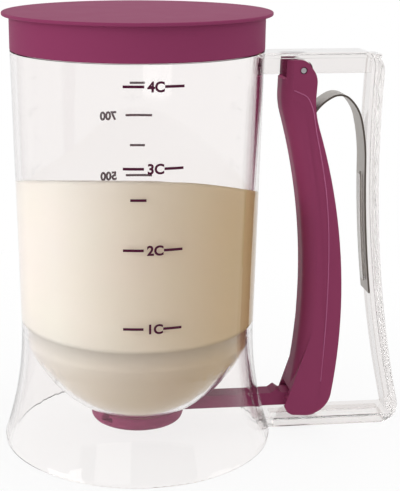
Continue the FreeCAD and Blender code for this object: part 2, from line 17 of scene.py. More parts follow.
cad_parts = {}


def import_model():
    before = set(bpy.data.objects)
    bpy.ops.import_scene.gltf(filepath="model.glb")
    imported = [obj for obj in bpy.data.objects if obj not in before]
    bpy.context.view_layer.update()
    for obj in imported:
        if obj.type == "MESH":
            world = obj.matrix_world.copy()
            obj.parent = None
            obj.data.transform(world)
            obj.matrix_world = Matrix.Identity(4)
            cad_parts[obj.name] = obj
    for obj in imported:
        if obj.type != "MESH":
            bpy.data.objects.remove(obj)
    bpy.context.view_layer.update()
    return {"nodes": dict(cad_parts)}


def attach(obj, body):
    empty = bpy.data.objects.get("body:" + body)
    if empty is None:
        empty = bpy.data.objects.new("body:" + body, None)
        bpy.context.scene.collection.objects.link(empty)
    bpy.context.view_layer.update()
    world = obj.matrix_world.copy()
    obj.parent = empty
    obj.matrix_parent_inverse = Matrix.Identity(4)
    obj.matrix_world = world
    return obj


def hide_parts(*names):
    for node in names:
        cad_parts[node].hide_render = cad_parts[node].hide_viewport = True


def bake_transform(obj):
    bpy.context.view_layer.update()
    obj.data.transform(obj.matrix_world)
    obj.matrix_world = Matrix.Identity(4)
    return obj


logging.basicConfig(level=logging.INFO, format="%(message)s")
log = logging.getLogger("batter_dispenser")

MM = 0.001
Rgb = tuple[float, float, float]

SKIN_BUMP_DEPTH = 0.4 * MM
# Where Blender's Mix node keeps its share and its colours.
MIX_SHARE, MIX_FIRST, MIX_SECOND, MIX_RESULT = 0, 6, 7, 2
# A CAD node's points are one point where they agree to a micrometre.
WELD_STEPS_PER_METRE = 1e6
LETTER_WELD_DISTANCE = 1e-7
POLE_RADIUS = 1e-9


def linear(red: int, green: int, blue: int) -> Rgb:
    """The scene-linear colour of a screen colour.

    Args:
        red: The screen's red, from 0 to 255.
        green: The screen's green, from 0 to 255.
        blue: The screen's blue, from 0 to 255.

    Returns:
        The linear red, green and blue, from 0 to 1.
    """
    def channel(value: int) -> float:
        """Undoes the sRGB curve for one channel.

        Args:
            value: The screen's value, from 0 to 255.

        Returns:
            The linear value, from 0 to 1.
        """
        share = value / 255
        return share / 12.92 if share <= 0.04045 else ((share + 0.055) / 1.055) ** 2.4
    return channel(red), channel(green), channel(blue)


class Slot(Enum):
    """The record's material slots."""

    CLEAR = "clear_plastic"
    PLUM = "plum_plastic"
    PIN = "pin_steel"
    SPRING = "spring_steel"
    SEAL = "seal_rubber"


class Tree:
    """A short way to add and link nodes in a node tree."""

    def __init__(self, tree: bpy.types.NodeTree) -> None:
        """Wraps a node tree.

        Args:
            tree: The tree to add nodes to.
        """
        self.tree = tree

    def add(self, kind: str, **settings: object) -> bpy.types.Node:
        """Adds one node.

        Args:
            kind: The node's type name.
            settings: Values for its inputs, by name with underscores, or for its own properties.

        Returns:
            The new node.
        """
        node = self.tree.nodes.new(kind)
        for name, value in settings.items():
            socket = node.inputs.get(name.replace("_", " "))
            if hasattr(node, name) and socket is None:
                setattr(node, name, value)
            elif socket is not None:
                socket.default_value = value
        return node

    def link(self, source: bpy.types.NodeSocket, target: bpy.types.NodeSocket) -> None:
        """Joins an output to an input.

        Args:
            source: The output.
            target: The input.
        """
        self.tree.links.new(source, target)


def surface_wear_group() -> bpy.types.NodeTree:
    """The shared effect of moulded plastic and metal: faint waviness and uneven gloss.

    Returns:
        A shader node group with inputs Scale, Waviness, Gloss and Spread, and outputs
        Normal and Roughness.
    """
    found = bpy.data.node_groups.get("moulded_skin")
    if found is not None:
        return found
    group = bpy.data.node_groups.new("moulded_skin", "ShaderNodeTree")
    for name, default in (("Scale", 60.0), ("Waviness", 0.05), ("Gloss", 0.2), ("Spread", 0.05)):
        socket = group.interface.new_socket(name, in_out="INPUT", socket_type="NodeSocketFloat")
        socket.default_value = default
    group.interface.new_socket("Normal", in_out="OUTPUT", socket_type="NodeSocketVector")
    group.interface.new_socket("Roughness", in_out="OUTPUT", socket_type="NodeSocketFloat")
    tree = Tree(group)
    inputs = tree.add("NodeGroupInput")
    outputs = tree.add("NodeGroupOutput")
    place = tree.add("ShaderNodeTexCoord")
    noise = tree.add("ShaderNodeTexNoise", Detail=2.0)
    bump = tree.add("ShaderNodeBump", Distance=SKIN_BUMP_DEPTH)
    spread = tree.add("ShaderNodeMath", operation="MULTIPLY_ADD")
    tree.link(place.outputs["Object"], noise.inputs["Vector"])
    tree.link(inputs.outputs["Scale"], noise.inputs["Scale"])
    tree.link(noise.outputs["Fac"], bump.inputs["Height"])
    tree.link(inputs.outputs["Waviness"], bump.inputs["Strength"])
    tree.link(noise.outputs["Fac"], spread.inputs[0])
    tree.link(inputs.outputs["Spread"], spread.inputs[1])
    tree.link(inputs.outputs["Gloss"], spread.inputs[2])
    tree.link(bump.outputs["Normal"], outputs.inputs["Normal"])
    tree.link(spread.outputs["Value"], outputs.inputs["Roughness"])
    return group


def add_skin(tree: Tree, shader: bpy.types.Node, **values: float) -> None:
    """Feeds a shader's normal and roughness from the shared skin effect.

    Args:
        tree: The material's tree.
        shader: The material's shader.
        values: The effect's Scale, Waviness, Gloss and Spread.
    """
    skin = tree.add("ShaderNodeGroup")
    skin.node_tree = surface_wear_group()
    for name, value in values.items():
        skin.inputs[name].default_value = value
    tree.link(skin.outputs["Normal"], shader.inputs["Normal"])
    tree.link(skin.outputs["Roughness"], shader.inputs["Roughness"])


def new_material(name: str, colour: Rgb,
                 alpha: float = 1.0) -> tuple[bpy.types.Material, Tree, bpy.types.Node]:
    """Makes a material that uses nodes.

    Args:
        name: The material's name.
        colour: Its plain colour, for viewers without shaders.
        alpha: Its plain opacity, for the same.

    Returns:
        The material, its tree and its Principled shader.
    """
    material = bpy.data.materials.new(name)
    material.use_nodes = True
    material.diffuse_color = (*colour, alpha)
    return material, Tree(material.node_tree), material.node_tree.nodes["Principled BSDF"]


@dataclass(frozen=True)
class MouldedPlastic:
    """An opaque, semi-gloss moulded plastic."""

    name: str
    colour: Rgb
    gloss: float = 0.22
    spread: float = 0.08
    waviness: float = 0.04
    specular: float = 0.45
    grain: float = 90.0

    def build(self) -> bpy.types.Material:
        """Makes the material.

        Returns:
            The material, with the shared skin effect on its normal and roughness.
        """
        material, tree, shader = new_material(self.name, self.colour)
        shader.inputs["Base Color"].default_value = (*self.colour, 1.0)
        shader.inputs["Specular IOR Level"].default_value = self.specular
        add_skin(tree, shader, Scale=self.grain, Waviness=self.waviness, Gloss=self.gloss,
                 Spread=self.spread)
        return material


@dataclass(frozen=True)
class ClearPlastic:
    """A clear plastic that light passes through, with light let through its shadow."""

    name: str
    face_tint: Rgb
    edge_tint: Rgb
    roughness: float = 0.02
    ior: float = 1.18
    shade: float = 0.97
    coat: float = 0.0
    coat_roughness: float = 0.08
    face_until: float = 0.62
    edge_from: float = 0.97
    plain_alpha: float = 0.3

    def build(self) -> bpy.types.Material:
        """Makes the material.

        Returns:
            A transmitting material whose shadow rays pass, so that what is inside is lit.
        """
        material, tree, shader = new_material(self.name, self.face_tint, self.plain_alpha)
        facing = tree.add("ShaderNodeLayerWeight", Blend=0.5)
        ramp = tree.add("ShaderNodeValToRGB")
        ramp.color_ramp.elements[0].position = self.face_until
        ramp.color_ramp.elements[0].color = (*self.face_tint, 1.0)
        ramp.color_ramp.elements[1].position = self.edge_from
        ramp.color_ramp.elements[1].color = (*self.edge_tint, 1.0)
        tree.link(facing.outputs["Facing"], ramp.inputs["Fac"])
        tree.link(ramp.outputs["Color"], shader.inputs["Base Color"])
        shader.inputs["Roughness"].default_value = self.roughness
        shader.inputs["IOR"].default_value = self.ior
        shader.inputs["Transmission Weight"].default_value = 1.0
        shader.inputs["Coat Weight"].default_value = self.coat
        shader.inputs["Coat Roughness"].default_value = self.coat_roughness
        output = material.node_tree.nodes["Material Output"]
        path = tree.add("ShaderNodeLightPath")
        through = tree.add("ShaderNodeBsdfTransparent")
        through.inputs["Color"].default_value = (self.shade, self.shade, self.shade, 1.0)
        mix = tree.add("ShaderNodeMixShader")
        tree.link(path.outputs["Is Shadow Ray"], mix.inputs["Fac"])
        tree.link(shader.outputs["BSDF"], mix.inputs[1])
        tree.link(through.outputs["BSDF"], mix.inputs[2])
        tree.link(mix.outputs["Shader"], output.inputs["Surface"])
        return material


@dataclass(frozen=True)
class SatinMetal:
    """A drawn or rolled metal with a soft shine."""

    name: str
    colour: Rgb
    gloss: float = 0.25
    spread: float = 0.12
    waviness: float = 0.02
    grain: float = 300.0

    def build(self) -> bpy.types.Material:
        """Makes the material.

        Returns:
            A metal with the shared skin effect on its normal and roughness.
        """
        material, tree, shader = new_material(self.name, self.colour)
        shader.inputs["Base Color"].default_value = (*self.colour, 1.0)
        shader.inputs["Metallic"].default_value = 1.0
        add_skin(tree, shader, Scale=self.grain, Waviness=self.waviness, Gloss=self.gloss,
                 Spread=self.spread)
        return material


@dataclass(frozen=True)
class RimmedMetal(SatinMetal):
    """A metal whose outer part, past a distance, is a darker colour, used as painted shade."""

    rim: Rgb = (0.1, 0.1, 0.1)
    centre: tuple[float, float, float] = (0.0, 0.0, 0.0)
    along: tuple[float, float, float] = (1.0, 1.0, 1.0)
    reach: float = 0.001

    def build(self) -> bpy.types.Material:
        """Makes the material.

        Returns:
            A metal whose colour changes past the reach from its centre, along the given axes.
        """
        material = super().build()
        tree = Tree(material.node_tree)
        shader = material.node_tree.nodes["Principled BSDF"]
        place = tree.add("ShaderNodeTexCoord")
        away = tree.add("ShaderNodeVectorMath", operation="SUBTRACT")
        away.inputs[1].default_value = self.centre
        kept = tree.add("ShaderNodeVectorMath", operation="MULTIPLY")
        kept.inputs[1].default_value = self.along
        length = tree.add("ShaderNodeVectorMath", operation="LENGTH")
        past = tree.add("ShaderNodeMath", operation="GREATER_THAN")
        past.inputs[1].default_value = self.reach
        mix = tree.add("ShaderNodeMix", data_type="RGBA")
        mix.inputs[MIX_FIRST].default_value = (*self.colour, 1.0)
        mix.inputs[MIX_SECOND].default_value = (*self.rim, 1.0)
        tree.link(place.outputs["Object"], away.inputs[0])
        tree.link(away.outputs["Vector"], kept.inputs[0])
        tree.link(kept.outputs["Vector"], length.inputs[0])
        tree.link(length.outputs["Value"], past.inputs[0])
        tree.link(past.outputs["Value"], mix.inputs[MIX_SHARE])
        tree.link(mix.outputs[MIX_RESULT], shader.inputs["Base Color"])
        return material


@dataclass(frozen=True)
class BatterWithPaintedShade:
    """Pancake batter with painted shade: pale cream at the lit side of the jug and tan at the
    shaded side, with soft gloss.
    """

    name: str
    pale: Rgb
    shaded_tan: Rgb
    half_width: float = 47.0 * MM
    low_from: float = 50.0 * MM
    low_to: float = 16.0 * MM
    low_share: float = 0.4
    pale_until: float = 0.12
    tan_from: float = 0.95
    roughness: float = 0.5
    specular: float = 0.25
    mottle: float = 0.05
    mottle_scale: float = 35.0
    mottle_detail: float = 3.0

    def build(self) -> bpy.types.Material:
        """Makes the material.

        Returns:
            A soft, slightly mottled cream whose colour deepens towards +X as painted shade, and
            deepens in the bowl too.
        """
        material, tree, shader = new_material(self.name, self.pale)
        shader.inputs["Roughness"].default_value = self.roughness
        shader.inputs["Specular IOR Level"].default_value = self.specular
        place = tree.add("ShaderNodeTexCoord")
        split = tree.add("ShaderNodeSeparateXYZ")
        # Painted shade: the share of tan grows across x, the way the key light falls off across the
        # jug.
        spread = tree.add("ShaderNodeMapRange")
        spread.inputs["From Min"].default_value = -self.half_width
        spread.inputs["From Max"].default_value = self.half_width
        # The colour also deepens towards the bowl's floor.
        low = tree.add("ShaderNodeMapRange")
        low.inputs["From Min"].default_value = self.low_from
        low.inputs["From Max"].default_value = self.low_to
        low.inputs["To Max"].default_value = self.low_share
        deepen = tree.add("ShaderNodeMath", operation="ADD")
        ramp = tree.add("ShaderNodeValToRGB")
        ramp.color_ramp.elements[0].position = self.pale_until
        ramp.color_ramp.elements[0].color = (*self.pale, 1.0)
        ramp.color_ramp.elements[1].position = self.tan_from
        ramp.color_ramp.elements[1].color = (*self.shaded_tan, 1.0)
        mottle = tree.add("ShaderNodeTexNoise", Scale=self.mottle_scale,
                          Detail=self.mottle_detail)
        tint = tree.add("ShaderNodeMix", data_type="RGBA", blend_type="MULTIPLY")
        tint.inputs[MIX_SHARE].default_value = self.mottle
        tree.link(place.outputs["Object"], split.inputs["Vector"])
        tree.link(split.outputs["X"], spread.inputs["Value"])
        tree.link(split.outputs["Z"], low.inputs["Value"])
        tree.link(spread.outputs["Result"], deepen.inputs[0])
        tree.link(low.outputs["Result"], deepen.inputs[1])
        tree.link(deepen.outputs["Value"], ramp.inputs["Fac"])
        tree.link(place.outputs["Object"], mottle.inputs["Vector"])
        tree.link(ramp.outputs["Color"], tint.inputs[MIX_FIRST])
        tree.link(mottle.outputs["Color"], tint.inputs[MIX_SECOND])
        tree.link(tint.outputs[MIX_RESULT], shader.inputs["Base Color"])
        return material


class Finishes:
    """Every material of the object, built once."""

    def __init__(self) -> None:
        """Builds the materials."""
        self.clear = ClearPlastic("clear_plastic", face_tint=(0.957, 0.938, 0.932),
                                  edge_tint=(0.62, 0.57, 0.58), ior=1.4).build()
        self.bowl = ClearPlastic("clear_bowl", face_tint=(0.995, 0.99, 0.985),
                                 edge_tint=(0.9, 0.88, 0.87), ior=1.2).build()
        self.handle = ClearPlastic("clear_handle", face_tint=(0.85, 0.822, 0.81),
                                   edge_tint=(0.24, 0.225, 0.22), ior=1.12, coat=0.9).build()
        self.plum = MouldedPlastic("plum_plastic", linear(131, 53, 87), gloss=0.45,
                                   specular=0.12).build()
        # A lighter plum for the panel's bead: a painted highlight along the panel's edge.
        self.bead = MouldedPlastic("plum_bead_painted_highlight", linear(166, 90, 128), gloss=0.4,
                                   specular=0.2).build()
        self.lid = MouldedPlastic("plum_lid", linear(127, 52, 86), gloss=0.5, specular=0.05).build()
        # The pin turns dark plum past 1.15 mm from its axis: painted shade in the gap of the
        # trigger's recess round the pin.
        self.pin = RimmedMetal("pin_steel", (0.46, 0.43, 0.45), gloss=0.3,
                               rim=linear(84, 36, 58), centre=(67.8 * MM, 0.0, 159.7 * MM),
                               along=(1.0, 0.0, 1.0), reach=1.15 * MM).build()
        # The leaf spring's edge faces, past 5.95 mm from its middle, turn darker: painted shade on
        # the strip's edges.
        self.spring = RimmedMetal("spring_steel", (0.37, 0.345, 0.32), gloss=0.34,
                                  rim=linear(92, 84, 78), centre=(0.0, 0.0, 0.0),
                                  along=(0.0, 1.0, 0.0), reach=5.95 * MM).build()
        self.seal = MouldedPlastic("seal_rubber", (0.80, 0.78, 0.76), gloss=0.5).build()
        self.ink = MouldedPlastic("scale_ink", linear(70, 22, 46), gloss=0.5, specular=0.1).build()
        # The batter's turn from cream to tan across the jug is painted shade.
        self.batter = BatterWithPaintedShade("batter", pale=linear(235, 229, 220),
                                   shaded_tan=linear(194, 166, 120)).build()


def new_object(name: str, data: bpy.types.ID) -> bpy.types.Object:
    """Links a new object.

    Args:
        name: The object's name.
        data: What it holds: a mesh, a curve, a lamp or a camera.

    Returns:
        The object, at the origin.
    """
    thing = bpy.data.objects.new(name, data)
    bpy.context.scene.collection.objects.link(thing)
    return thing


def mesh_from(work: bmesh.types.BMesh, name: str) -> bpy.types.Mesh:
    """Ends the work on a shape and keeps it as a mesh.

    Args:
        work: The shape, which is freed.
        name: The mesh's name.

    Returns:
        The mesh.
    """
    mesh = bpy.data.meshes.new(name)
    work.to_mesh(mesh)
    work.free()
    return mesh


def settle(thing: bpy.types.Object) -> None:
    """Turns an object's modifiers into its plain mesh.

    Args:
        thing: The object, whose modifiers are applied and removed.
    """
    bpy.context.view_layer.update()
    graph = bpy.context.evaluated_depsgraph_get()
    mesh = bpy.data.meshes.new_from_object(thing.evaluated_get(graph),
                                           preserve_all_data_layers=True, depsgraph=graph)
    thing.modifiers.clear()
    thing.data = mesh


def merged_copy(node: bpy.types.Object, name: str) -> bpy.types.Object:
    """A welded copy of a CAD node that keeps the node's own shading normals.

    Args:
        node: The CAD node.
        name: The copy's name.

    Returns:
        The copy, at the origin.
    """
    source = node.data
    points: list[Vector] = []
    index: dict[tuple[int, int, int], int] = {}
    welded = []
    for vertex in source.vertices:
        key = tuple(round(value * WELD_STEPS_PER_METRE) for value in vertex.co)
        if key not in index:
            index[key] = len(points)
            points.append(vertex.co.copy())
        welded.append(index[key])
    faces, normals = [], []
    for polygon in source.polygons:
        corners = [welded[vertex] for vertex in polygon.vertices]
        if len(set(corners)) == len(corners):
            faces.append(corners)
            normals += [source.corner_normals[loop].vector.copy()
                        for loop in polygon.loop_indices]
    mesh = bpy.data.meshes.new(name)
    mesh.from_pydata(points, [], faces)
    mesh.polygons.foreach_set("use_smooth", [True] * len(faces))
    mesh.normals_split_custom_set(normals)
    return new_object(name, mesh)


def turned_mesh(name: str, profile: Sequence[tuple[float, float]], steps: int,
                shift: Optional[Callable[[float, float, float], float]] = None) -> bpy.types.Mesh:
    """A closed mesh made by a full turn of a profile about Z.

    Args:
        name: The mesh's name.
        profile: Points (radius, z) from the lower pole to the upper pole, both at radius 0.
        steps: The number of steps round the axis.
        shift: Gives a point's height from its x, y and profile z, or None to leave it.

    Returns:
        The mesh, with its faces pointing outwards.
    """
    work = bmesh.new()
    rings = []
    for radius, z in profile:
        ring = []
        for step in range(steps if radius > POLE_RADIUS else 1):
            angle = 2 * math.pi * step / steps
            x, y = radius * math.cos(angle), radius * math.sin(angle)
            ring.append(work.verts.new((x, y, shift(x, y, z) if shift else z)))
        rings.append(ring)
    for low, high in zip(rings, rings[1:]):
        for step in range(steps):
            after = (step + 1) % steps
            corners = [low[step % len(low)], low[after % len(low)],
                       high[after % len(high)], high[step % len(high)]]
            unique = list(dict.fromkeys(corners))
            if len(unique) > 2:
                work.faces.new(unique)
    bmesh.ops.recalc_face_normals(work, faces=work.faces)
    for face in work.faces:
        face.smooth = True
    return mesh_from(work, name)


@dataclass
class TankSizes:
    """The tank's own sizes, as its CAD source has them."""

    waist_radius: float = 50.0 * MM
    waist_height: float = 50.0 * MM
    top_radius: float = 52.0 * MM
    shoulder_height: float = 168.4 * MM
    wall: float = 2.4 * MM
    bowl_rim: float = 46.0 * MM
    bowl_curve: float = 55.0 * MM
    bowl_wall: float = 1.8 * MM
    bowl_flat: float = 14.0 * MM
    bowl_flat_radius: float = 21.0 * MM
    bowl_top: float = 54.0 * MM
    seam: float = 0.1 * MM

    def outer(self, z: float) -> float:
        """The tank's outer radius.

        Args:
            z: A height above the foot.

        Returns:
            The radius at that height.
        """
        share = (z - self.waist_height) / (self.shoulder_height - self.waist_height)
        return self.waist_radius + (self.top_radius - self.waist_radius) * share

    def inner(self, z: float) -> float:
        """The tank's inner radius.

        Args:
            z: A height above the foot.

        Returns:
            The radius at that height.
        """
        return self.outer(z) - self.wall

    def bowl_inner(self, z: float) -> float:
        """The bowl's inner radius.

        Args:
            z: A height above the foot, from the bowl's flat up to its rim.

        Returns:
            The radius at that height.
        """
        rim = self.waist_radius - self.wall - self.seam
        low = Vector((self.bowl_flat_radius, self.bowl_flat))
        high = Vector((rim, self.bowl_rim))
        chord = high - low
        half = chord.length / 2
        normal = Vector((-chord.y, chord.x)).normalized()
        centre = (low + high) / 2 + normal * math.sqrt(self.bowl_curve ** 2 - half ** 2)
        radius = self.bowl_curve - self.bowl_wall
        drop = min(abs(z - centre.y), radius)
        return centre.x + math.sqrt(max(radius ** 2 - drop ** 2, 0.0))


@dataclass
class Batter:
    """The batter in the tank, thick enough for its top to lie at a slant.

    It wets the clear walls, so its gap to them is below zero: its skin lies a hair inside them
    and no air shows between. Up to the still band over the bowl its sides keep their heights.
    """

    tank: TankSizes = field(default_factory=TankSizes)
    level: float = 113.0 * MM
    slope_back: float = 0.215
    slope_side: float = 0.03
    slump: float = 4.0 * MM
    slump_from: float = 12.0 * MM
    slump_over: float = 35.0 * MM
    slump_power: float = 1.4
    gap: float = -0.12 * MM
    bowl_gap_out: float = 0.8
    bowl_gap_up: float = 0.6
    under_bowl_top: float = 0.1 * MM
    over_bowl_top: float = 0.2 * MM
    still_band: float = 3.0 * MM
    steps: int = 128
    bowl_steps: int = 24
    wall_steps: int = 40
    top_steps: int = 12

    def top(self, x: float, y: float) -> float:
        """The height of the batter's top.

        Args:
            x: A place in the tank, towards the handle.
            y: A place in the tank, towards the back.

        Returns:
            The top's height there.
        """
        side = max(0.0, (x - self.slump_from) / self.slump_over)
        return (self.level - self.slope_back * y - self.slope_side * x
                - self.slump * side ** self.slump_power)

    def build(self, finish: bpy.types.Material) -> bpy.types.Object:
        """Makes the batter.

        Args:
            finish: The batter's material.

        Returns:
            The batter, riding on the jug.
        """
        tank, gap = self.tank, self.gap
        floor = tank.bowl_flat + tank.bowl_wall
        flat_radius = tank.bowl_inner(floor) - gap
        profile = [(0.0, floor + gap), (flat_radius / 2, floor + gap), (flat_radius, floor + gap)]
        for step in range(1, self.bowl_steps + 1):
            z = floor + (tank.bowl_rim - floor) * step / self.bowl_steps
            profile.append((tank.bowl_inner(z) - gap * self.bowl_gap_out,
                            z + gap * self.bowl_gap_up))
        rim_radius = tank.bowl_inner(tank.bowl_rim) - gap
        seat = tank.bowl_top - self.under_bowl_top
        profile += [(rim_radius, seat), (tank.inner(tank.bowl_top) - gap, seat)]
        for step in range(1, self.wall_steps + 1):
            z = (tank.bowl_top + self.over_bowl_top
                 + (self.level - tank.bowl_top) * step / self.wall_steps)
            profile.append((tank.inner(z) - gap, z))
        edge = tank.inner(self.level) - gap
        for step in range(1, self.top_steps + 1):
            profile.append((edge * (1 - step / self.top_steps), self.level))
        base = tank.bowl_top + self.still_band

        def shift(x: float, y: float, z: float) -> float:
            """Stretches the sides up to the slanted top.

            Args:
                x: The point's place towards the handle.
                y: The point's place towards the back.
                z: The point's height in the profile.

            Returns:
                The point's height in the batter.
            """
            if z <= base:
                return z
            return base + (z - base) * (self.top(x, y) - base) / (self.level - base)

        mesh = turned_mesh("batter", profile, self.steps, shift)
        mesh.materials.append(finish)
        batter = new_object("batter", mesh)
        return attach(batter, "jug")


class Side(Enum):
    """The two sides of the jug that carry a scale."""

    FRONT = -1
    BACK = 1


@dataclass(frozen=True)
class Mark:
    """One mark of a scale: a word, a line, or both."""

    height: float
    text: str = ""
    lines: tuple[tuple[float, float], ...] = ()
    side: Side = Side.FRONT
    text_centre: float = 0.0
    text_height: float = 0.0


@dataclass
class Scale:
    """The printed cup and millilitre scales, wrapped on the tank's outer wall."""

    tank: TankSizes = field(default_factory=TankSizes)
    lift: float = 0.06 * MM
    thickness: float = 0.05 * MM
    line_width: float = 1.05 * MM
    line_pieces: int = 9
    letter_weight: float = 0.19 * MM
    back_weight: float = 1.3
    font_size_share: float = 1.42
    curve_steps: int = 6

    def marks(self) -> list[Mark]:
        """Lists every mark of both scales.

        Returns:
            The cups on the front, then the millilitres on the back.
        """
        both_sides = ((-10.9 * MM, -2.9 * MM), (4.9 * MM, 12.4 * MM))
        cups = [
            Mark(height * MM, f"{count}C", both_sides, Side.FRONT,
                 text_centre=1.6 * MM, text_height=3.8 * MM)
            for count, height in ((1, 64.9), (2, 97.1), (3, 129.2), (4, 160.3))
        ]
        cups.append(Mark(117.0 * MM, "", ((-8.1 * MM, -1.9 * MM),), Side.FRONT))
        long_line, short_line = ((-12.3 * MM, 0.2 * MM),), ((-8.9 * MM, -1.8 * MM),)
        millilitres = [
            Mark(height * MM, text, long_line if text else short_line, Side.BACK,
                 text_centre=8.5 * MM, text_height=3.7 * MM)
            for text, height in (("300", 78.0), ("", 92.0), ("500", 104.9), ("", 118.9),
                                 ("700", 132.8), ("", 147.5))
        ]
        return cups + millilitres

    def wrap(self, mesh: bpy.types.Mesh, side: Side) -> None:
        """Bends a flat mesh of x and z on to the tank's wall.

        The depth turns over on the way, so a mesh whose faces point outwards comes out with
        them pointing inwards.

        Args:
            mesh: A mesh whose x runs along the wall and whose y is its depth.
            side: The side of the jug to wrap it on.
        """
        for vertex in mesh.vertices:
            along, depth, z = vertex.co
            radius = self.tank.outer(z) + self.lift + depth
            angle = along / self.tank.outer(z)
            x, y = radius * math.sin(angle), -radius * math.cos(angle)
            vertex.co = (x, y, z) if side is Side.FRONT else (-x, -y, z)

    def line_tree(self) -> bpy.types.NodeTree:
        """A Geometry Nodes tree that puts one thin closed bar on each point.

        Returns:
            The tree, with inputs Line Width, Ink Depth, Pieces and Ink; a point's "length"
            attribute is its bar's length.
        """
        found = bpy.data.node_groups.get("printed_lines")
        if found is not None:
            return found
        group = bpy.data.node_groups.new("printed_lines", "GeometryNodeTree")
        group.is_modifier = True
        for name, kind in (("Geometry", "Geometry"), ("Line Width", "Float"),
                           ("Ink Depth", "Float"), ("Pieces", "Int"), ("Ink", "Material")):
            group.interface.new_socket(name, in_out="INPUT", socket_type=f"NodeSocket{kind}")
        group.interface.new_socket("Geometry", in_out="OUTPUT",
                                   socket_type="NodeSocketGeometry")
        tree = Tree(group)
        inputs = tree.add("NodeGroupInput")
        outputs = tree.add("NodeGroupOutput")
        size = tree.add("ShaderNodeCombineXYZ", X=1.0)
        bar = tree.add("GeometryNodeMeshCube", Vertices_Y=2, Vertices_Z=2)
        length = tree.add("GeometryNodeInputNamedAttribute", data_type="FLOAT", Name="length")
        stretch = tree.add("ShaderNodeCombineXYZ", Y=1.0, Z=1.0)
        place = tree.add("GeometryNodeInstanceOnPoints")
        real = tree.add("GeometryNodeRealizeInstances")
        ink = tree.add("GeometryNodeSetMaterial")
        tree.link(inputs.outputs["Ink Depth"], size.inputs["Y"])
        tree.link(inputs.outputs["Line Width"], size.inputs["Z"])
        tree.link(size.outputs["Vector"], bar.inputs["Size"])
        tree.link(inputs.outputs["Pieces"], bar.inputs["Vertices X"])
        tree.link(length.outputs["Attribute"], stretch.inputs["X"])
        tree.link(inputs.outputs["Geometry"], place.inputs["Points"])
        tree.link(bar.outputs["Mesh"], place.inputs["Instance"])
        tree.link(stretch.outputs["Vector"], place.inputs["Scale"])
        tree.link(place.outputs["Instances"], real.inputs["Geometry"])
        tree.link(real.outputs["Geometry"], ink.inputs["Geometry"])
        tree.link(inputs.outputs["Ink"], ink.inputs["Material"])
        tree.link(ink.outputs["Geometry"], outputs.inputs["Geometry"])
        return group

    def lines(self, side: Side, finish: bpy.types.Material) -> bpy.types.Mesh:
        """Every line of one side's scale, flat in x and z.

        Args:
            side: The side of the jug.
            finish: The ink's material.

        Returns:
            A mesh with one closed thin bar for each line.
        """
        spans = [(start, end, mark.height) for mark in self.marks() if mark.side is side
                 for start, end in mark.lines]
        points = bpy.data.meshes.new("line_points")
        points.from_pydata([((start + end) / 2, self.thickness / 2, height)
                            for start, end, height in spans], [], [])
        lengths = points.attributes.new("length", "FLOAT", "POINT")
        for item, (start, end, _) in zip(lengths.data, spans):
            item.value = end - start
        holder = new_object("line_points", points)
        group = self.line_tree()
        modifier = holder.modifiers.new("lines", "NODES")
        modifier.node_group = group
        values = {"Line Width": self.line_width, "Ink Depth": self.thickness,
                  "Pieces": self.line_pieces, "Ink": finish}
        for item in group.interface.items_tree:
            if item.in_out == "INPUT" and item.name in values:
                modifier[item.identifier] = values[item.name]
        settle(holder)
        mesh = holder.data
        bpy.data.objects.remove(holder)
        return mesh

    def lettering(self, mark: Mark) -> bpy.types.Mesh:
        """A mark's word as a flat mesh in x and z.

        Args:
            mark: The mark.

        Returns:
            The word's mesh, thickened along y.
        """
        curve = bpy.data.curves.new("word", "FONT")
        curve.body = mark.text
        curve.align_x = "CENTER"
        curve.size = mark.text_height * self.font_size_share
        curve.offset = self.letter_weight * (1.0 if mark.side is Side.FRONT
                                             else self.back_weight)
        curve.extrude = self.thickness / 2
        curve.resolution_u = self.curve_steps
        word = new_object("word", curve)
        bpy.context.view_layer.update()
        graph = bpy.context.evaluated_depsgraph_get()
        mesh = bpy.data.meshes.new_from_object(word.evaluated_get(graph))
        bpy.data.objects.remove(word)
        work = bmesh.new()
        work.from_mesh(mesh)
        bmesh.ops.remove_doubles(work, verts=work.verts, dist=LETTER_WELD_DISTANCE)
        for vertex in work.verts:
            x, y, z = vertex.co
            vertex.co = (x + mark.text_centre, self.thickness / 2 - z,
                         y + mark.height - mark.text_height / 2)
        bmesh.ops.recalc_face_normals(work, faces=work.faces)
        work.to_mesh(mesh)
        work.free()
        return mesh

    def build(self, finish: bpy.types.Material) -> bpy.types.Object:
        """Makes both scales as one piece.

        Args:
            finish: The ink's material.

        Returns:
            The printed scales, riding on the jug.
        """
        parts = [(self.lines(side, finish), side) for side in Side]
        parts += [(self.lettering(mark), mark.side) for mark in self.marks() if mark.text]
        whole = bmesh.new()
        for part, side in parts:
            self.wrap(part, side)
            whole.from_mesh(part)
            bpy.data.meshes.remove(part)
        mesh = mesh_from(whole, "printed_scale")
        mesh.materials.append(finish)
        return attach(new_object("printed_scale", mesh), "jug")


